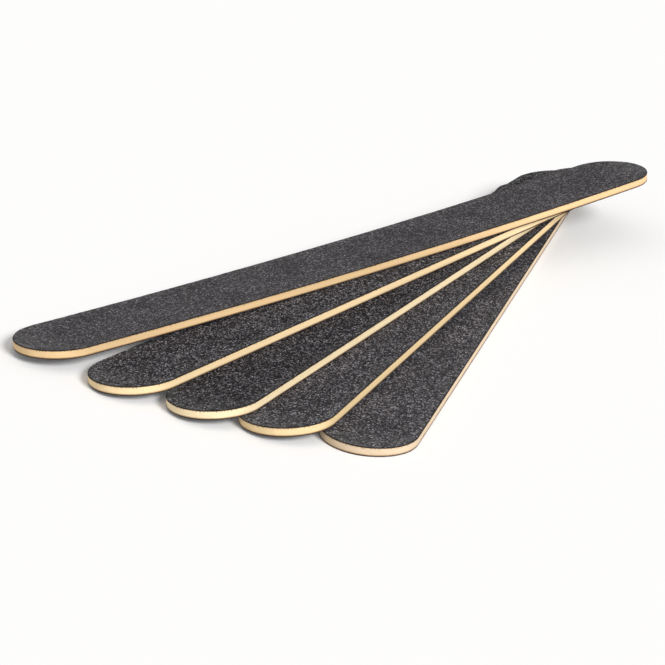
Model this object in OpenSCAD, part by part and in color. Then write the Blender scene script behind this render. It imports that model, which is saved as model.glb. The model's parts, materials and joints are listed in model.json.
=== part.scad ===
// Fan of loose emery boards. Each board is a wood core between two glued abrasive sheets.
// The bottom board lies flat, with its long axis along X and the far ends of the fan at +X.
// The others lie face to face in one plane, which leans on the bottom board's left edge
// until a near tip meets the surface that the bottom board lies on.

/* [Board] */
// Length of a board from tip to tip
board_len = 178; // [140:1:180]
// Width of a board, and the diameter of its half-round ends
board_w = 19; // [17:0.5:21]
// Thickness of the wood core
core_t = 1.45; // [1:0.05:2.2]

/* [Abrasive sheet] */
// Thickness of the glue film between the wood and the paper
glue_t = 0.02; // [0.01:0.01:0.06]
// Thickness of the backing paper
paper_t = 0.1; // [0.06:0.01:0.2]
// Thickness of the coat of grit and resin
grit_t = 0.12; // [0.06:0.01:0.25]

/* [Fan] */
// Angle from each board to the next one up, in degrees
fan_angles = [7, 6, 9.3, 10.5]; // [4:0.1:12]
// From the middle of the lower board of each pair to where the two centre lines cross
cross_on_lower = [44.6, 59.1, 30.6, 30.1]; // [25:0.1:65]
// From the middle of the upper board of each pair to where the two centre lines cross
cross_on_upper = [47.2, 60.7, 31.6, 31.6]; // [25:0.1:65]
// Gap that lets neighbouring boards slide over each other
slip_gap = 0.04; // [0.02:0.01:0.1]
// Rise of the top board's ends above its middle, because it has warped
top_bow = 1.4; // [0.5:0.1:2.5]

/* [Hidden] */
top_board = len(fan_angles);
end_r = board_w / 2;
half_len = board_len / 2;
end_centre = half_len - end_r;

sheet_t = glue_t + paper_t + grit_t;
board_t = core_t + 2 * sheet_t;
pitch = board_t + slip_gap;

// Facets of the half-round ends
end_fn = 96;
// Radius and facets of the circle that the warped board follows
bow_r = (half_len * half_len + top_bow * top_bow) / (2 * top_bow);
bow_fn = 3600;

// Heights of the layers above a board's lower face
under_paper_z = grit_t;
under_glue_z = grit_t + paper_t;
core_z = sheet_t;
top_glue_z = core_z + core_t;
top_paper_z = top_glue_z + glue_t;
top_grit_z = top_paper_z + paper_t;

LAYERS = [
    "wood_core", "under_glue", "under_paper", "under_grit", "top_glue", "top_paper", "top_grit"
];

function part_name(k, layer) = str("board_", k + 1, "_", layer);

// Board k counts up from 0 at the bottom. In the leaning plane, X runs as in the part's
// frame, and Y is measured up to the left from the bottom board's left edge.
function along(angle) = [cos(angle), sin(angle)];
function heading(k) = k == 0 ? 0 : heading(k - 1) - fan_angles[k - 1];
function middle(k) = k == 0 ? [0, -end_r] :
    middle(k - 1) + cross_on_lower[k - 1] * along(heading(k - 1))
    - cross_on_upper[k - 1] * along(heading(k));

// How far the near tip of board k reaches past the bottom board's left edge, how high its
// lower face lies there above the leaning plane, and the lean at which it meets the surface
function tip_reach(k) = middle(k)[1] - end_centre * sin(heading(k)) + end_r;
function tip_rise(k) = (k - 1) * pitch + (k == top_board ? top_bow : 0);
function tip_lean(k) =
    atan2(tip_rise(k), tip_reach(k)) + asin(pitch / norm([tip_reach(k), tip_rise(k)]));
lean = min([for (k = [1 : top_board]) tip_lean(k)]);

module place(k) {
    if (k == 0)
        children();
    else
        translate([0, end_r, pitch])
            rotate([-lean, 0, 0])
                translate([middle(k)[0], middle(k)[1], (k - 1) * pitch])
                    rotate([0, 0, heading(k)])
                        children();
}

module outline() {
    square([2 * end_centre, board_w], center = true);
    for (side = [-1, 1])
        translate([side * end_centre, 0])
            circle(r = end_r, $fn = end_fn);
}

module flat_slab(z, t) {
    translate([0, 0, z])
        linear_extrude(t)
            outline();
}

// A slab that curves up towards both ends, cut from a ring about an axis high above it
module warped_slab(z, t) {
    intersection() {
        linear_extrude(board_t + 2 * top_bow)
            outline();
        translate([0, board_w, bow_r])
            rotate([90, 0, 0])
                difference() {
                    cylinder(r = bow_r - z, h = 2 * board_w, $fn = bow_fn);
                    translate([0, 0, -1])
                        cylinder(r = bow_r - z - t, h = 2 * board_w + 2, $fn = bow_fn);
                }
    }
}

module slab(k, z, t) {
    place(k)
        if (k == top_board)
            warped_slab(z, t);
        else
            flat_slab(z, t);
}

module wood_core(k) {
    color("BurlyWood")
        slab(k, core_z, core_t);
}

module glue(k, z) {
    color("Wheat")
        slab(k, z, glue_t);
}

module paper(k, z) {
    color("RosyBrown")
        slab(k, z, paper_t);
}

module grit(k, z) {
    color("DimGray")
        slab(k, z, grit_t);
}

module layer_of(k, layer) {
    if (layer == "wood_core") wood_core(k);
    if (layer == "under_glue") glue(k, under_glue_z);
    if (layer == "under_paper") paper(k, under_paper_z);
    if (layer == "under_grit") grit(k, 0);
    if (layer == "top_glue") glue(k, top_glue_z);
    if (layer == "top_paper") paper(k, top_paper_z);
    if (layer == "top_grit") grit(k, top_grit_z);
}

for (k = [0 : top_board], layer = LAYERS)
    layer_of(k, layer);
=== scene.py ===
"""Dresses a packed fan of emery boards: wood cores, coats of grit, and the studio round them."""

import json
import math

import bpy
import numpy as np
from mathutils import Matrix, Vector

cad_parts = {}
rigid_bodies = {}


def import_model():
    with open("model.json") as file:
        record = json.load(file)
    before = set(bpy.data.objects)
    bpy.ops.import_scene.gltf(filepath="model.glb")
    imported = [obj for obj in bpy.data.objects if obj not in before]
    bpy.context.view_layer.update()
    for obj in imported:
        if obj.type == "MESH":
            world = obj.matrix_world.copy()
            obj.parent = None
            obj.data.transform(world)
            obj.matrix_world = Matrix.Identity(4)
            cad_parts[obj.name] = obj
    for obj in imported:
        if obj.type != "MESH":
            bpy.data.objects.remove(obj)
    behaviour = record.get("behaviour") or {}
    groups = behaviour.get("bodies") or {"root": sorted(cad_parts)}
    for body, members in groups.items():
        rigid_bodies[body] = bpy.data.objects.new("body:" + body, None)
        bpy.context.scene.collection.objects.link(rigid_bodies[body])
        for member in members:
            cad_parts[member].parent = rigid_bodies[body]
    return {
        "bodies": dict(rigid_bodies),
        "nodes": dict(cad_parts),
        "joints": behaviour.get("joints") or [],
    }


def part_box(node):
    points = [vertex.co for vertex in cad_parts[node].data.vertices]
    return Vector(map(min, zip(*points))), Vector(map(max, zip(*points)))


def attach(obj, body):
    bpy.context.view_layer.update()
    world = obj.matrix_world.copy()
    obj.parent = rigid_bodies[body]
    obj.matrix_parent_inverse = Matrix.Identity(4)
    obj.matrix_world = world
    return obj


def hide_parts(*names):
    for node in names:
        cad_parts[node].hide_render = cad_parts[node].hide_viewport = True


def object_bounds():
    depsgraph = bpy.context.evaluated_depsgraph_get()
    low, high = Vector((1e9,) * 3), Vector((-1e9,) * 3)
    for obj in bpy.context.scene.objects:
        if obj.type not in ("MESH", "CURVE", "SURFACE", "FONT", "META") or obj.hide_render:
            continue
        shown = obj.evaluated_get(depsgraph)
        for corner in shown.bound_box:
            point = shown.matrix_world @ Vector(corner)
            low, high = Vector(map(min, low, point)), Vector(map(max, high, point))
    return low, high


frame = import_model()
CAD_LOW, CAD_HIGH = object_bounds()

bl_info = {
    "name": "Emery board fan",
    "version": (1, 0, 0),
    "blender": (4, 5, 0),
    "location": "View3D > Sidebar > Emery",
    "description": "Builds the finish of a fan of wooden emery boards",
    "category": "Object",
}

MM = 0.001
BOARDS = sorted(frame["bodies"])
BOTTOM = BOARDS[0]
SIDES = ("top", "under")


# Measures taken from the frame

def node_corners(layer):
    """Lowest and highest corner of one layer of the bottom board, which lies flat."""
    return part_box(f"{BOTTOM}_{layer}")


def layer_heights(layer):
    """Height of a layer's lower and upper face above the lower face of its board."""
    low, high = node_corners(layer)
    return low.z, high.z


def board_outline():
    """Half the length of a board, and the radius of its half-round ends."""
    low, high = node_corners("wood_core")
    return (high.x - low.x) / 2, (high.y - low.y) / 2


HALF_LEN, END_R = board_outline()
END_CENTRE = HALF_LEN - END_R


class Place:
    """Where a board lies: its middle, its long, cross and upward directions, and its warp."""

    def __init__(self, board):
        heading = 0.0
        up = Vector((0.0, 0.0, 1.0))
        for joint in frame["joints"]:
            if joint["child"] <= board:
                heading -= math.radians(joint["range_deg"][1])
                up = Vector(joint["axis"]).normalized()
        level_x = Vector((1.0, 0.0, 0.0))
        level_y = up.cross(level_x).normalized()
        self.up = np.array(up)
        self.along = np.array(level_x * math.cos(heading) + level_y * math.sin(heading))
        self.across = np.array(level_y * math.cos(heading) - level_x * math.sin(heading))
        corners = self.measured(f"{board}_wood_core")
        base = self.measured(f"{board}_under_grit")
        middle = (corners.min(0) + corners.max(0)) / 2
        thickness = np.diff(layer_heights("under_grit"))[0]
        self.middle = (
            middle[0] * self.along + middle[1] * self.across + base[:, 2].min() * self.up
        )
        self.bow = np.ptp(base[:, 2]) - thickness

    def measured(self, node):
        """A node's vertices, measured along, across and up from this board."""
        mesh = frame["nodes"][node].data
        points = np.array([vertex.co for vertex in mesh.vertices])
        return points @ np.stack([self.along, self.across, self.up], axis=1)

    def to_frame(self, points):
        """Points along, across and above a flat board, bent to its warp and put in place."""
        rise = points[:, 2] + self.bow * (points[:, 0] / HALF_LEN) ** 2
        return (
            self.middle
            + points[:, :1] * self.along
            + points[:, 1:2] * self.across
            + rise[:, None] * self.up
        )


# Mesh making

# Faces that meet at a wider angle than this are shaded as a sharp edge
SHARP_ANGLE = math.radians(45)


def rough(rng, x, y, pitch):
    """Smooth random values from 0 to 1 at the points x, y, on a lattice of that pitch."""
    cells_x = int(np.ptp(x) / pitch) + 3
    cells_y = int(np.ptp(y) / pitch) + 3
    lattice = rng.random((cells_x, cells_y))
    column, part_x = np.divmod((x - x.min()) / pitch, 1.0)
    row, part_y = np.divmod((y - y.min()) / pitch, 1.0)
    column = column.astype(int)
    row = row.astype(int)
    ease_x = part_x * part_x * (3 - 2 * part_x)
    ease_y = part_y * part_y * (3 - 2 * part_y)
    low = lattice[column, row] * (1 - ease_x) + lattice[column + 1, row] * ease_x
    high = lattice[column, row + 1] * (1 - ease_x) + lattice[column + 1, row + 1] * ease_x
    return low * (1 - ease_y) + high * ease_y


def half_profile(step):
    """The outline's left half, from the far tip to the near tip, in even steps."""
    arc_steps = round(END_R * math.pi / 2 / step)
    side_steps = round(2 * END_CENTRE / step)
    angle = np.linspace(0, math.pi / 2, arc_steps + 1)[:-1]
    side = np.linspace(END_CENTRE, -END_CENTRE, side_steps + 1)
    far_x = END_CENTRE + END_R * np.cos(angle)
    half_width = END_R * np.sin(angle)
    x = np.concatenate([far_x, side, -far_x[::-1]])
    width = np.concatenate([half_width, np.full(side.size, END_R), half_width[::-1]])
    return x, width


class Slab:
    """A sheet cut to the board's outline: a grid on each face, joined by a ruled edge."""

    def __init__(self, step, columns, edge_rows, low, high):
        self.x, self.width = half_profile(step)
        self.stations = self.x.size
        self.low, self.high = low, high
        self.points = []
        self.faces = []
        self.count = 0
        top = self.add_face_grid(high, columns["top"], upward=True)
        under = self.add_face_grid(low, columns["under"], upward=False)
        self.add_edge(self.ring(top), self.ring(under), edge_rows)

    def add_face_grid(self, height, columns, upward):
        """Rows of points across the board at each station; one point at each tip."""
        share = np.linspace(1, -1, columns + 1)
        rows = []
        for station in range(self.stations):
            tip = station in (0, self.stations - 1)
            y = np.zeros(1) if tip else self.width[station] * share
            row = np.column_stack([np.full(y.size, self.x[station]), y, np.full(y.size, height)])
            rows.append(np.arange(self.count, self.count + y.size))
            self.points.append(row)
            self.count += y.size
        for first, second in zip(rows, rows[1:]):
            self.join_rows(first, second, upward)
        return rows

    def join_rows(self, first, second, upward):
        """Faces between two neighbouring rows of points."""
        for i in range(max(first.size, second.size) - 1):
            if first.size == 1:
                face = [first[0], second[i], second[i + 1]]
            elif second.size == 1:
                face = [first[i], second[0], first[i + 1]]
            else:
                face = [first[i], second[i], second[i + 1], first[i + 1]]
            self.faces.append(face if upward else face[::-1])

    def ring(self, rows):
        """The outline's points, from the far tip down the left side and back up the right."""
        left = [row[0] for row in rows]
        right = [row[-1] for row in rows[-2:0:-1]]
        return np.array(left + right)

    def add_edge(self, top, under, edge_rows):
        """Rings of points between the two outlines, with faces between the rings."""
        all_points = np.concatenate(self.points)
        rings = [top]
        for i in range(1, edge_rows):
            ring = all_points[top].copy()
            ring[:, 2] = self.high + (self.low - self.high) * i / edge_rows
            rings.append(np.arange(self.count, self.count + top.size))
            self.points.append(ring)
            self.count += top.size
        rings.append(under)
        for upper, lower in zip(rings, rings[1:]):
            for i in range(top.size):
                j = (i + 1) % top.size
                self.faces.append([upper[i], lower[i], lower[j], upper[j]])
        self.edge = np.concatenate(rings)
        self.edge_length = np.tile(self.ring_length(all_points[top]), edge_rows + 1)

    @staticmethod
    def ring_length(points):
        """Distance round the outline to each of its points."""
        steps = np.linalg.norm(np.diff(points, axis=0), axis=1)
        return np.concatenate([[0.0], np.cumsum(steps)])

    def draw_in_edge(self, rng, depth, pitches):
        """Pulls the edge in by up to depth, unevenly, as sanding and cutting leave it."""
        all_points = np.concatenate(self.points)
        edge = all_points[self.edge]
        relief = np.zeros(edge.shape[0])
        for pitch_round, pitch_up, share in pitches:
            relief += share * rough(
                rng, self.edge_length / pitch_round, edge[:, 2] / pitch_up, 1.0
            )
        centre = np.clip(edge[:, 0], -END_CENTRE, END_CENTRE)
        outward = np.column_stack([edge[:, 0] - centre, edge[:, 1]])
        outward /= np.linalg.norm(outward, axis=1)[:, None]
        all_points[self.edge, :2] -= outward * (depth * relief)[:, None]
        self.points = [all_points]

    def press_face(self, rng, depth, pitches, upward):
        """Lowers one face by up to depth, grain by grain."""
        all_points = np.concatenate(self.points)
        height = self.high if upward else self.low
        on_face = np.isclose(all_points[:, 2], height, atol=1e-9)
        x, y = all_points[on_face, 0], all_points[on_face, 1]
        relief = sum(share * rough(rng, x, y, pitch) for pitch, share in pitches)
        all_points[on_face, 2] += (-depth if upward else depth) * relief
        self.points = [all_points]

    def to_object(self, name, place):
        """A mesh object in place, which remembers where each point lay on the flat board."""
        flat = np.concatenate(self.points)
        mesh = bpy.data.meshes.new(name)
        mesh.from_pydata(place.to_frame(flat).tolist(), [], [list(face) for face in self.faces])
        mesh.attributes.new("on_board", "FLOAT_VECTOR", "POINT").data.foreach_set(
            "vector", (flat / MM).ravel()
        )
        length = np.zeros(flat.shape[0])
        length[self.edge] = self.edge_length / MM
        mesh.attributes.new("round_rim", "FLOAT", "POINT").data.foreach_set("value", length)
        mesh.shade_smooth()
        mesh.set_sharp_from_angle(angle=SHARP_ANGLE)
        mesh.validate()
        piece = bpy.data.objects.new(name, mesh)
        bpy.context.scene.collection.objects.link(piece)
        return piece


# Shader helpers

def put(tree, kind, inputs=None, **settings):
    """Adds one shader node, sets it up, and links or fills its inputs."""
    made = tree.nodes.new(kind)
    for name, value in settings.items():
        setattr(made, name, value)
    for key, value in (inputs or {}).items():
        if isinstance(value, bpy.types.NodeSocket):
            tree.links.new(value, made.inputs[key])
        else:
            made.inputs[key].default_value = value
    return made


def calc(tree, operation, first, second=0.0):
    return put(tree, "ShaderNodeMath", {0: first, 1: second}, operation=operation).outputs[0]


def stretch(tree, vector, factors):
    inputs = {0: vector, 1: factors}
    return put(tree, "ShaderNodeVectorMath", inputs, operation="MULTIPLY").outputs[0]


def remap(tree, value, low, high, to_low=0.0, to_high=1.0):
    inputs = {0: value, 1: low, 2: high, 3: to_low, 4: to_high}
    return put(tree, "ShaderNodeMapRange", inputs, clamp=True).outputs[0]


def noise(tree, vector, scale, detail):
    inputs = {"Vector": vector, "Scale": scale, "Detail": detail}
    return put(tree, "ShaderNodeTexNoise", inputs).outputs["Fac"]


def cells(tree, vector, scale):
    """Random cells: distance from each cell's middle, and three random numbers a cell."""
    made = put(tree, "ShaderNodeTexVoronoi", {"Vector": vector, "Scale": scale})
    apart = put(tree, "ShaderNodeSeparateColor", {0: made.outputs["Color"]})
    return made.outputs["Distance"], apart.outputs


def mix(tree, share, first, second, blend_type="MIX"):
    inputs = {0: share, 6: first, 7: second}
    made = put(tree, "ShaderNodeMix", inputs, data_type="RGBA", blend_type=blend_type)
    return made.outputs[2]


def mix_value(tree, share, first, second):
    inputs = {0: share, 2: first, 3: second}
    return put(tree, "ShaderNodeMix", inputs, data_type="FLOAT").outputs[0]


def blend(tree, first, second, share):
    """Two values added up, where share is the weight of the first."""
    return calc(
        tree,
        "ADD",
        calc(tree, "MULTIPLY", first, share),
        calc(tree, "MULTIPLY", second, 1 - share),
    )


def shifted(tree, position, distance, axes):
    """A position moved by that distance along each of the axes."""
    shift = put(tree, "ShaderNodeCombineXYZ", dict.fromkeys(axes, distance)).outputs[0]
    return put(tree, "ShaderNodeVectorMath", {0: position, 1: shift}).outputs[0]


def opaque(colour):
    return (*colour, 1.0)


SOCKETS = {"vector": "NodeSocketVector", "value": "NodeSocketFloat", "colour": "NodeSocketColor"}


def new_group(name, inputs, outputs):
    """An empty shader group with named sockets, and its two end nodes."""
    tree = bpy.data.node_groups.new(name, "ShaderNodeTree")
    for socket, kind in inputs.items():
        tree.interface.new_socket(name=socket, in_out="INPUT", socket_type=SOCKETS[kind])
    for socket, kind in outputs.items():
        tree.interface.new_socket(name=socket, in_out="OUTPUT", socket_type=SOCKETS[kind])
    return tree, tree.nodes.new("NodeGroupInput").outputs, tree.nodes.new("NodeGroupOutput").inputs


def use_group(tree, group, inputs):
    return put(tree, "ShaderNodeGroup", inputs, node_tree=group).outputs


def shared(name, build):
    """A shader group that is built the first time that a material asks for it."""
    return bpy.data.node_groups.get(name) or build(name)


# Measures of the textures: lengths in millimetres, patterns per millimetre, and shares

# Where nearly all of a noise texture's values lie
NOISE_LOW, NOISE_HIGH = 0.3, 0.7
# Coarse and fine grains of grit, and the weight of the coarse ones in the tone
COARSE_GRAINS, FINE_GRAINS = 3.0, 6.5
COARSE_SHARE = 0.55
# The higher, the fewer grains are light
GRAIN_CONTRAST = 6.0
# Tone of a coat whose grains are all alike
EVEN_TONE = 0.07
# Broad clouds in the grit, and how far they darken and lighten it
CLOUDS = 0.12
CLOUD_TONES = (0.8, 1.2)
# Random numbers at which a light grain starts to turn warm, and is fully warm
WARM_FROM, WARM_FULL = 0.4, 0.8
# A painted glint is bright as far out as the first share of its grain's cell, and faded at the
# second
GLINT_CORE, GLINT_RIM = 0.15, 0.45
GRIT_ROUGHNESS, GLINT_ROUGHNESS = 0.85, 0.3
GRIT_SHINE = 0.06
# How far dust and a painted sheen reach in from the tips, how far dust reaches in from the outline,
# and how thick the dust lies there
TIP_DUST_AND_SHEEN, RIM_DUST = 9.0, 3.0
RIM_DUST_SHARE = 0.5
# Patches of dust and painted sheen, the noise at which they start and are full, and the most that
# they cover
PATCHES_OF_DUST_AND_SHEEN = 0.5
PATCHES_FROM, PATCHES_FULL = 0.35, 0.75
MOST_DUST_AND_SHEEN = 0.6
# The coat's cut edge is dark as far in as the first depth, and as light as its face at the second;
# this is partly the coat's own dark cut and partly painted shade of the narrow gap under each board
CUT_DARK, CUT_LIGHT = 0.08, 0.25
CUT_AND_SHADE_TONE = 0.15
# Streaks along, across and up the wood, and the weight of the broad ones in the tone
BROAD_STREAKS = (0.02, 0.35, 1.3)
FINE_STREAKS = (0.12, 3.0, 7.0)
BROAD_SHARE = 0.6
# Tones at which the wood is palest and deepest
PALE_TONE, DEEP_TONE = 0.35, 0.65
# Nicks round the wood's rims and up its edge, and the noise at which they start and are full
RIM_NICKS = (3.2, 0.5, 1.0)
NICK_FROM, NICK_FULL = 0.5, 0.62
# How far nicks reach from the wood's rims
NICK_REACH = 0.3
# How high the painted shade along the wood's lower rim reaches, and how dark it is
LOWER_SHADE_HEIGHT = 0.25
LOWER_SHADE_SHARE = 0.9
WOOD_ROUGHNESS, WOOD_SHINE = 0.7, 0.3
# Mottling of the paper and the glue, how far it darkens and lightens them, and their grain
MOTTLE = 1.6
MOTTLE_TONES = (0.55, 1.25)
SHEET_GRAIN = 4.0
PAPER_ROUGHNESS, GLUE_ROUGHNESS = 0.85, 0.55
# Depths of the bumps that the shaders add
WOOD_BUMP, GRIT_BUMP, SHEET_BUMP = 0.03, 0.06, 0.02
# How far apart the boards lie in the textures, so that no two look the same
WOOD_SHIFT, GRIT_SHIFT = 37.0, 11.0


def rim_depth_group(name):
    """How far in from the board's outline a point lies, in millimetres."""
    tree, given, result = new_group(name, {"Position": "vector"}, {"Depth": "value"})
    apart = put(tree, "ShaderNodeSeparateXYZ", {0: given["Position"]}).outputs
    past_centre = calc(tree, "SUBTRACT", calc(tree, "ABSOLUTE", apart[0]), END_CENTRE / MM)
    past_centre = calc(tree, "MAXIMUM", past_centre, 0.0)
    off_axis = calc(tree, "ABSOLUTE", apart[1])
    squares = [calc(tree, "POWER", distance, 2.0) for distance in (past_centre, off_axis)]
    reach = calc(tree, "SQRT", calc(tree, "ADD", *squares))
    tree.links.new(calc(tree, "SUBTRACT", END_R / MM, reach), result["Depth"])
    return tree


def grain_group(name):
    """Packed grains of grit: a speckle of darks and greys, with painted glints on a few grains."""
    inputs = {
        "Position": "vector",
        "Seed": "value",
        "Dark": "colour",
        "Light": "colour",
        "Warm": "colour",
        "Painted glint": "colour",
        "Painted glint share": "value",
        "Speckle": "value",
        "Level": "value",
    }
    outputs = {"Color": "colour", "Roughness": "value", "Height": "value"}
    tree, given, result = new_group(name, inputs, outputs)
    place = shifted(tree, given["Position"], given["Seed"], (0, 1))
    far, big = cells(tree, place, COARSE_GRAINS)
    near, small = cells(tree, place, FINE_GRAINS)
    tone = blend(tree, big[0], small[0], COARSE_SHARE)
    tone = calc(tree, "POWER", tone, GRAIN_CONTRAST)
    tone = mix_value(tree, given["Speckle"], EVEN_TONE, tone)
    cloud = remap(tree, noise(tree, place, CLOUDS, 3.0), NOISE_LOW, NOISE_HIGH, *CLOUD_TONES)
    tone = calc(tree, "MULTIPLY", tone, calc(tree, "MULTIPLY", cloud, given["Level"]))
    warmth = remap(tree, small[1], WARM_FROM, WARM_FULL)
    light = mix(tree, warmth, given["Light"], given["Warm"])
    colour = mix(tree, tone, given["Dark"], light)
    # Painted highlight: a few grains get a bright colour that stands for their glints
    rare = calc(tree, "GREATER_THAN", big[1], calc(tree, "SUBTRACT", 1.0, given["Painted glint share"]))
    centre = remap(tree, far, GLINT_CORE, GLINT_RIM, 1.0, 0.0)
    bright = calc(tree, "MULTIPLY", big[2], given["Speckle"])
    painted_glint = calc(tree, "MULTIPLY", calc(tree, "MULTIPLY", rare, centre), bright)
    colour = mix(tree, painted_glint, colour, given["Painted glint"])
    height = calc(tree, "SUBTRACT", calc(tree, "ADD", tone, 1.0), calc(tree, "ADD", far, near))
    tree.links.new(colour, result["Color"])
    gloss = remap(tree, painted_glint, 0.0, 1.0, GRIT_ROUGHNESS, GLINT_ROUGHNESS)
    tree.links.new(gloss, result["Roughness"])
    tree.links.new(height, result["Height"])
    return tree


def fibre_group(name):
    """Straight wood grain: soft streaks and fine fibres, torn at the rims, with painted shade along
    the lower rim.
    """
    inputs = {
        "Position": "vector",
        "Round rim": "value",
        "Seed": "value",
        "Pale": "colour",
        "Deep": "colour",
        "Dark": "colour",
    }
    outputs = {"Color": "colour", "Height": "value"}
    tree, given, result = new_group(name, inputs, outputs)
    apart = put(tree, "ShaderNodeSeparateXYZ", {0: given["Position"]}).outputs
    place = shifted(tree, given["Position"], given["Seed"], (0, 2))
    band = noise(tree, stretch(tree, place, BROAD_STREAKS), 1.0, 2.0)
    streak = noise(tree, stretch(tree, place, FINE_STREAKS), 1.0, 3.0)
    tone = blend(tree, band, streak, BROAD_SHARE)
    depth = remap(tree, tone, PALE_TONE, DEEP_TONE)
    colour = mix(tree, depth, given["Pale"], given["Deep"])
    rim_place = put(
        tree, "ShaderNodeCombineXYZ", {0: given["Round rim"], 1: apart[2], 2: given["Seed"]}
    ).outputs[0]
    nick = noise(tree, stretch(tree, rim_place, RIM_NICKS), 1.0, 3.0)
    low, high = (height / MM for height in layer_heights("wood_core"))
    middle, half = (low + high) / 2, (high - low) / 2
    off_middle = calc(tree, "ABSOLUTE", calc(tree, "SUBTRACT", apart[2], middle))
    at_rim = remap(tree, off_middle, half - NICK_REACH, half, 0.0, 1.0)
    torn = calc(tree, "MULTIPLY", remap(tree, nick, NICK_FROM, NICK_FULL), at_rim)
    # Painted shade: the wood's lower rim is darkened as the shade beneath the board would darken it
    shade_below = remap(tree, apart[2], low, low + LOWER_SHADE_HEIGHT, LOWER_SHADE_SHARE, 0.0)
    colour = mix(tree, calc(tree, "MAXIMUM", torn, shade_below), colour, given["Dark"])
    tree.links.new(colour, result["Color"])
    tree.links.new(calc(tree, "SUBTRACT", streak, torn), result["Height"])
    return tree


def new_material(name):
    """A material with only its surface shader and output, ready to be wired."""
    made = bpy.data.materials.new(name)
    made.use_nodes = True
    tree = made.node_tree
    tree.nodes.clear()
    shader = put(tree, "ShaderNodeBsdfPrincipled")
    put(tree, "ShaderNodeOutputMaterial", {"Surface": shader.outputs[0]})
    return made, tree, shader


def stored(tree, name, output):
    """What a mesh remembers at each point under that name."""
    return put(tree, "ShaderNodeAttribute", attribute_name=name).outputs[output]


def bump(tree, height, depth):
    inputs = {"Height": height, "Distance": depth, "Strength": 1.0}
    return put(tree, "ShaderNodeBump", inputs).outputs[0]


def wood_material(board, finish):
    made, tree, shader = new_material(f"{board}_wood")
    pale = Vector(getattr(finish, f"{board}_wood"))
    grain = use_group(
        tree,
        shared("Wood fibre", fibre_group),
        {
            "Position": stored(tree, "on_board", "Vector"),
            "Round rim": stored(tree, "round_rim", "Fac"),
            "Seed": WOOD_SHIFT * (1 + BOARDS.index(board)),
            "Pale": opaque(pale),
            "Deep": opaque(pale * finish.wood_depth),
            "Dark": opaque(finish.wood_dark),
        },
    )
    tree.links.new(grain["Color"], shader.inputs["Base Color"])
    tree.links.new(bump(tree, grain["Height"], WOOD_BUMP * MM), shader.inputs["Normal"])
    shader.inputs["Roughness"].default_value = WOOD_ROUGHNESS
    shader.inputs["Specular IOR Level"].default_value = WOOD_SHINE
    return made


def grit_material(board, finish):
    made, tree, shader = new_material(f"{board}_grit")
    position = stored(tree, "on_board", "Vector")
    grain = use_group(
        tree,
        shared("Grit grain", grain_group),
        {
            "Position": position,
            "Seed": GRIT_SHIFT * (1 + BOARDS.index(board)),
            "Dark": opaque(finish.grit_dark),
            "Light": opaque(finish.grit_light),
            "Warm": opaque(finish.grit_warm),
            "Painted glint": opaque(finish.grit_flash),
            "Painted glint share": finish.flash_share,
            "Speckle": finish.speckle[BOARDS.index(board)],
            "Level": finish.grit_level[BOARDS.index(board)],
        },
    )
    rim = use_group(tree, shared("Rim depth", rim_depth_group), {"Position": position})
    along = put(tree, "ShaderNodeSeparateXYZ", {0: position}).outputs[0]
    # Dust together with a painted sheen lightens the grit towards both tips; dust alone lies along
    # the outline
    tip = remap(tree, calc(tree, "ABSOLUTE", along), HALF_LEN / MM - TIP_DUST_AND_SHEEN, HALF_LEN / MM)
    by_rim = remap(tree, rim["Depth"], 0.0, RIM_DUST, RIM_DUST_SHARE, 0.0)
    worn_and_sheen = calc(tree, "MAXIMUM", tip, by_rim)
    patches = noise(tree, position, PATCHES_OF_DUST_AND_SHEEN, 4.0)
    patches = remap(tree, patches, PATCHES_FROM, PATCHES_FULL, 0.0, MOST_DUST_AND_SHEEN)
    dust_and_sheen = calc(tree, "MULTIPLY", worn_and_sheen, patches)
    colour = mix(tree, dust_and_sheen, grain["Color"], opaque(finish.grit_dust))
    # Partly the coat's own dark cut edge and partly painted shade: the edge and outer rim are
    # darkened towards the darkest grain
    on_face = remap(tree, rim["Depth"], CUT_DARK, CUT_LIGHT, CUT_AND_SHADE_TONE, 1.0)
    colour = mix(tree, on_face, opaque(finish.grit_dark), colour)
    tree.links.new(colour, shader.inputs["Base Color"])
    tree.links.new(grain["Roughness"], shader.inputs["Roughness"])
    tree.links.new(bump(tree, grain["Height"], GRIT_BUMP * MM), shader.inputs["Normal"])
    shader.inputs["Specular IOR Level"].default_value = GRIT_SHINE
    return made


def sheet_edge_material(name, colour, roughness):
    """The cut edge of the paper or glue, mottled along its length."""
    made, tree, shader = new_material(name)
    place = put(tree, "ShaderNodeTexCoord").outputs["Object"]
    mottle = noise(tree, place, MOTTLE / MM, 3.0)
    mottle = remap(tree, mottle, NOISE_LOW, NOISE_HIGH, *MOTTLE_TONES)
    tone = mix(tree, 1.0, opaque(colour), mottle, "MULTIPLY")
    tree.links.new(tone, shader.inputs["Base Color"])
    relief = bump(tree, noise(tree, place, SHEET_GRAIN / MM, 2.0), SHEET_BUMP * MM)
    tree.links.new(relief, shader.inputs["Normal"])
    shader.inputs["Roughness"].default_value = roughness
    return made


def colour_setting(name, description, default):
    return bpy.props.FloatVectorProperty(
        name=name, description=description, default=default, subtype="COLOR", size=3, min=0, max=1
    )


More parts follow.
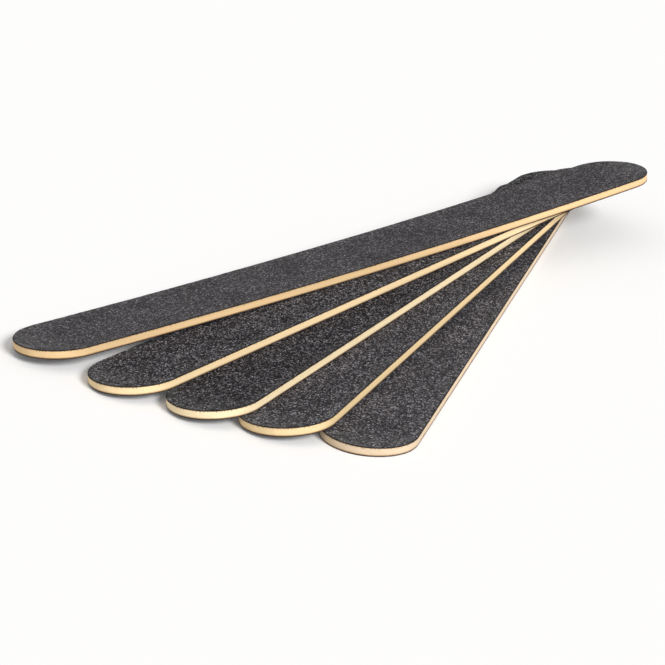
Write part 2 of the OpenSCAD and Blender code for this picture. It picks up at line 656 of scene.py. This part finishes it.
class EmeryFinish(bpy.types.PropertyGroup):
    board_1_wood: colour_setting("Wood 1", "Wood of the bottom board", (0.74, 0.58, 0.40))
    board_2_wood: colour_setting("Wood 2", "Wood of the second board", (0.86, 0.65, 0.357))
    board_3_wood: colour_setting("Wood 3", "Wood of the third board", (0.97, 0.79, 0.50))
    board_4_wood: colour_setting("Wood 4", "Wood of the fourth board", (0.95, 0.724, 0.423))
    board_5_wood: colour_setting("Wood 5", "Wood of the top board", (0.825, 0.575, 0.305))
    wood_dark: colour_setting("Dark fibre and shade", "The wood's nicks, and the painted shade along its lower rim", (0.22, 0.10, 0.03))
    wood_depth: bpy.props.FloatProperty(
        name="Streak depth",
        description="Brightness of the wood's darker streaks, as a share of the pale ones",
        default=0.86,
        min=0.3,
        max=1,
    )
    paper: colour_setting("Paper", "Cut edge of the backing paper", (0.05, 0.03, 0.018))
    glue: colour_setting("Glue", "Cut edge of the glue film", (0.16, 0.09, 0.04))
    grit_dark: colour_setting("Dark grain", "The darkest grains of grit", (0.006, 0.0055, 0.0065))
    grit_light: colour_setting("Light grain", "The lightest common grains", (0.80, 0.78, 0.90))
    grit_warm: colour_setting("Warm grain", "Light grains of a browner sort", (0.80, 0.70, 0.64))
    grit_flash: colour_setting("Painted glint colour", "Colour painted on the few grains that glint", (0.85, 0.88, 0.95))
    grit_dust: colour_setting("Dust and sheen", "Filing dust near the rims, and painted sheen at the tips", (0.22, 0.22, 0.21))
    speckle: bpy.props.FloatVectorProperty(
        name="Speckle",
        description="How much the grains differ in tone, for each board from the bottom up",
        default=(0.75, 0.85, 1.0, 0.95, 0.55),
        size=len(BOARDS),
        min=0,
        max=1,
    )
    grit_level: bpy.props.FloatVectorProperty(
        name="Grit level",
        description="Brightness of the light grains, for each board from the bottom up",
        default=(1.5, 1.42, 0.84, 1.2, 1.36),
        size=len(BOARDS),
        min=0,
        max=2,
    )
    flash_share: bpy.props.FloatProperty(
        name="Share of painted glints",
        description="Share of the grains with a painted glint",
        default=0.07,
        min=0,
        max=0.2,
        subtype="FACTOR",
    )
    grain_relief: bpy.props.FloatProperty(
        name="Grain relief",
        description="How far the coat of grit is sunk between its highest grains",
        default=0.05 * MM,
        min=0,
        max=0.1 * MM,
        unit="LENGTH",
    )
    rim_wear: bpy.props.FloatProperty(
        name="Rim wear",
        description="How far the coat of grit has crumbled back from the outline",
        default=0.13 * MM,
        min=0,
        max=0.2 * MM,
        unit="LENGTH",
    )
    wood_relief: bpy.props.FloatProperty(
        name="Wood relief",
        description="How far the wood's edge is drawn in at its deepest nicks",
        default=0.07 * MM,
        min=0,
        max=0.15 * MM,
        unit="LENGTH",
    )


class EmeryStage(bpy.types.PropertyGroup):
    floor: colour_setting("Floor", "Colour of the floor", (0.985, 0.979, 0.973))
    backdrop: bpy.props.FloatProperty(
        name="Backdrop",
        description="Brightness at which the camera sees the floor and the sky, where 1 is white",
        default=0.985,
        min=0,
        max=1,
    )
    sky: bpy.props.FloatProperty(
        name="Sky", description="Strength of the even light all round", default=0.44, min=0, max=2
    )
    key: bpy.props.FloatProperty(
        name="Key lamp", description="Strength of the soft main lamp", default=2.85, min=0, max=5
    )
    key_azimuth: bpy.props.FloatProperty(
        name="Key azimuth",
        description="Direction that the main lamp shines in, turned from +Y",
        default=math.radians(-40),
        subtype="ANGLE",
    )
    key_elevation: bpy.props.FloatProperty(
        name="Key elevation",
        description="Height of the main lamp above the horizon",
        default=math.radians(33),
        subtype="ANGLE",
    )
    key_spread: bpy.props.FloatProperty(
        name="Key spread",
        description="How wide the main lamp looks from the boards, which softens its shadows",
        default=math.radians(20),
        subtype="ANGLE",
    )
    aim: bpy.props.FloatVectorProperty(
        name="Aim",
        description="The point of the floor that the camera looks at",
        default=(-0.03038, 0.02085, 0.0),
        size=3,
        unit="LENGTH",
    )
    distance: bpy.props.FloatProperty(
        name="Distance", description="From the camera to that point", default=0.52231, unit="LENGTH"
    )
    azimuth: bpy.props.FloatProperty(
        name="Azimuth",
        description="Direction the camera looks in, turned from +Y",
        default=math.radians(-76.34),
        subtype="ANGLE",
    )
    elevation: bpy.props.FloatProperty(
        name="Elevation",
        description="Height of the camera above the horizon",
        default=math.radians(20.954),
        subtype="ANGLE",
    )
    roll: bpy.props.FloatProperty(
        name="Roll",
        description="Tilt of the camera about its own axis",
        default=math.radians(5.28),
        subtype="ANGLE",
    )
    lens: bpy.props.FloatProperty(
        name="Lens",
        description="Focal length of the camera, in millimetres",
        default=136.23,
        min=10,
        max=400,
    )


# Operators

# Steps along the board, and rows up the cut edge
WOOD_STEP, WOOD_EDGE_ROWS = 0.3 * MM, 8
GRIT_STEP, GRIT_EDGE_ROWS = 0.4 * MM, 2
# Columns across a face with relief, and across a plain one
GRIT_COLUMNS, PLAIN_COLUMNS = 48, 1
# Relief of a cut edge: pitch along the outline, pitch up the edge, and share of the depth
WOOD_NICKS = ((0.5 * MM, 4 * MM, 0.45), (2.5 * MM, 0.5 * MM, 0.35), (0.3 * MM, 0.2 * MM, 0.2))
GRIT_NICKS = ((0.5 * MM, 0.1 * MM, 0.7), (4 * MM, MM, 0.3))
# Relief of a face of grit: pitch and share of the depth
GRIT_FACE = ((0.45 * MM, 0.7), (6 * MM, 0.3))
WOOD_SEED = 100
GRIT_SEED = 200


class EMERY_OT_wood_cores(bpy.types.Operator):
    """Builds the wood core of every board, with its sanded and nicked edge"""

    bl_idname = "emery.wood_cores"
    bl_label = "Wood cores"

    def execute(self, context):
        finish = context.scene.emery_finish
        low, high = layer_heights("wood_core")
        for number, board in enumerate(BOARDS):
            rng = np.random.default_rng(WOOD_SEED + number)
            columns = dict.fromkeys(SIDES, PLAIN_COLUMNS)
            slab = Slab(WOOD_STEP, columns, WOOD_EDGE_ROWS, low, high)
            slab.draw_in_edge(rng, finish.wood_relief, WOOD_NICKS)
            piece = slab.to_object(f"{board}_wood", Place(board))
            piece.data.materials.append(wood_material(board, finish))
            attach(piece, board)
            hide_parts(f"{board}_wood_core")
        return {"FINISHED"}


class EMERY_OT_grit_coats(bpy.types.Operator):
    """Builds the coat of grit on both faces of every board"""

    bl_idname = "emery.grit_coats"
    bl_label = "Coats of grit"

    def execute(self, context):
        finish = context.scene.emery_finish
        for number, board in enumerate(BOARDS):
            material = grit_material(board, finish)
            for side in SIDES:
                upward = side == "top"
                rng = np.random.default_rng(GRIT_SEED + 10 * number + upward)
                low, high = layer_heights(f"{side}_grit")
                columns = dict.fromkeys(SIDES, PLAIN_COLUMNS)
                columns[side] = GRIT_COLUMNS
                slab = Slab(GRIT_STEP, columns, GRIT_EDGE_ROWS, low, high)
                slab.press_face(rng, finish.grain_relief, GRIT_FACE, upward)
                slab.draw_in_edge(rng, finish.rim_wear, GRIT_NICKS)
                piece = slab.to_object(f"{board}_{side}_grains", Place(board))
                piece.data.materials.append(material)
                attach(piece, board)
                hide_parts(f"{board}_{side}_grit")
        return {"FINISHED"}


class EMERY_OT_sheet_edges(bpy.types.Operator):
    """Finishes the paper and glue, which show only as thin lines along the boards' edges"""

    bl_idname = "emery.sheet_edges"
    bl_label = "Paper and glue"

    def execute(self, context):
        finish = context.scene.emery_finish
        made = {
            "paper": sheet_edge_material("backing_paper", finish.paper, PAPER_ROUGHNESS),
            "glue": sheet_edge_material("dried_glue", finish.glue, GLUE_ROUGHNESS),
        }
        for node, piece in frame["nodes"].items():
            kind = node.rsplit("_", 1)[1]
            if kind in made:
                piece.data.materials.clear()
                piece.data.materials.append(made[kind])
        return {"FINISHED"}


# In metres
FLOOR_SIZE = 6.0
FLOOR_ROUGHNESS = 0.9
# In millimetres, as the lens is
SENSOR_WIDTH = 36.0
WHITE = (1.0, 1.0, 1.0, 1.0)


def back_vector(azimuth, elevation):
    """From what is looked at back to a viewer or lamp with this direction and height."""
    flat = math.cos(elevation)
    return Vector((math.sin(azimuth) * flat, -math.cos(azimuth) * flat, math.sin(elevation)))


def seen_directly(tree):
    """One for rays from the camera, from a mirror or through glass, and nothing for the rest."""
    path = put(tree, "ShaderNodeLightPath").outputs
    seen = calc(tree, "MAXIMUM", path["Is Camera Ray"], path["Is Glossy Ray"])
    return calc(tree, "MAXIMUM", seen, path["Is Transmission Ray"])


class EMERY_OT_stage(bpy.types.Operator):
    """Lays the floor, lights it evenly, and sets the camera"""

    bl_idname = "emery.stage"
    bl_label = "Stage"

    def execute(self, context):
        stage = context.scene.emery_stage
        self.lay_floor(context, stage)
        self.light(context, stage)
        self.aim_camera(context, stage)
        return {"FINISHED"}

    def lay_floor(self, context, stage):
        half = FLOOR_SIZE / 2
        corners = [(-half, -half, 0), (half, -half, 0), (half, half, 0), (-half, half, 0)]
        mesh = bpy.data.meshes.new("floor")
        mesh.from_pydata(corners, [], [(0, 1, 2, 3)])
        floor = bpy.data.objects.new("floor", mesh)
        floor.location.z = CAD_LOW.z
        context.scene.collection.objects.link(floor)
        made, tree, shader = new_material("floor")
        shader.inputs["Base Color"].default_value = opaque(stage.floor)
        shader.inputs["Roughness"].default_value = FLOOR_ROUGHNESS
        shader.inputs["Specular IOR Level"].default_value = 0.0
        # The floor's own glow makes up what the sky and the lamp leave it short of the backdrop
        level = stage.sky + stage.key * math.sin(stage.key_elevation) / math.pi
        lift = max(0.0, stage.backdrop - level * stage.floor[1])
        shader.inputs["Emission Color"].default_value = WHITE
        lifted = calc(tree, "MULTIPLY", seen_directly(tree), lift)
        tree.links.new(lifted, shader.inputs["Emission Strength"])
        mesh.materials.append(made)

    def light(self, context, stage):
        world = bpy.data.worlds.new("studio")
        world.use_nodes = True
        background = world.node_tree.nodes["Background"]
        background.inputs["Color"].default_value = WHITE
        strength = remap(
            world.node_tree, seen_directly(world.node_tree), 0.0, 1.0, stage.sky, stage.backdrop
        )
        world.node_tree.links.new(strength, background.inputs["Strength"])
        context.scene.world = world
        lamp = bpy.data.lights.new("key", "SUN")
        lamp.energy = stage.key
        lamp.angle = stage.key_spread
        key = bpy.data.objects.new("key", lamp)
        back = back_vector(stage.key_azimuth, stage.key_elevation)
        key.matrix_world = back.to_track_quat("Z", "Y").to_matrix().to_4x4()
        context.scene.collection.objects.link(key)

    def aim_camera(self, context, stage):
        camera = bpy.data.objects.new("camera", bpy.data.cameras.new("camera"))
        camera.data.lens = stage.lens
        camera.data.sensor_width = SENSOR_WIDTH
        camera.data.sensor_fit = "HORIZONTAL"
        back = back_vector(stage.azimuth, stage.elevation)
        turn = back.to_track_quat("Z", "Y").to_matrix() @ Matrix.Rotation(stage.roll, 3, "Z")
        camera.matrix_world = Matrix.Translation(
            Vector(stage.aim) + back * stage.distance
        ) @ turn.to_4x4()
        context.scene.collection.objects.link(camera)
        context.scene.camera = camera
        context.scene.view_settings.view_transform = "Standard"


class EMERY_PT_panel(bpy.types.Panel):
    """Lists the steps that dress the fan"""

    bl_idname = "EMERY_PT_panel"
    bl_label = "Emery board fan"
    bl_space_type = "VIEW_3D"
    bl_region_type = "UI"
    bl_category = "Emery"

    def draw(self, context):
        for step in STEPS:
            self.layout.operator(step.bl_idname)
        for settings in (context.scene.emery_finish, context.scene.emery_stage):
            for name in settings.bl_rna.properties.keys():
                if name not in ("name", "rna_type"):
                    self.layout.prop(settings, name)


STEPS = (EMERY_OT_stage, EMERY_OT_wood_cores, EMERY_OT_grit_coats, EMERY_OT_sheet_edges)
CLASSES = (EmeryFinish, EmeryStage, *STEPS, EMERY_PT_panel)


def register():
    for made in CLASSES:
        bpy.utils.register_class(made)
    bpy.types.Scene.emery_finish = bpy.props.PointerProperty(type=EmeryFinish)
    bpy.types.Scene.emery_stage = bpy.props.PointerProperty(type=EmeryStage)


def unregister():
    del bpy.types.Scene.emery_stage
    del bpy.types.Scene.emery_finish
    for made in reversed(CLASSES):
        bpy.utils.unregister_class(made)


def main():
    register()
    bpy.ops.emery.stage()
    bpy.ops.emery.wood_cores()
    bpy.ops.emery.grit_coats()
    bpy.ops.emery.sheet_edges()


if __name__ == "__main__":
    main()
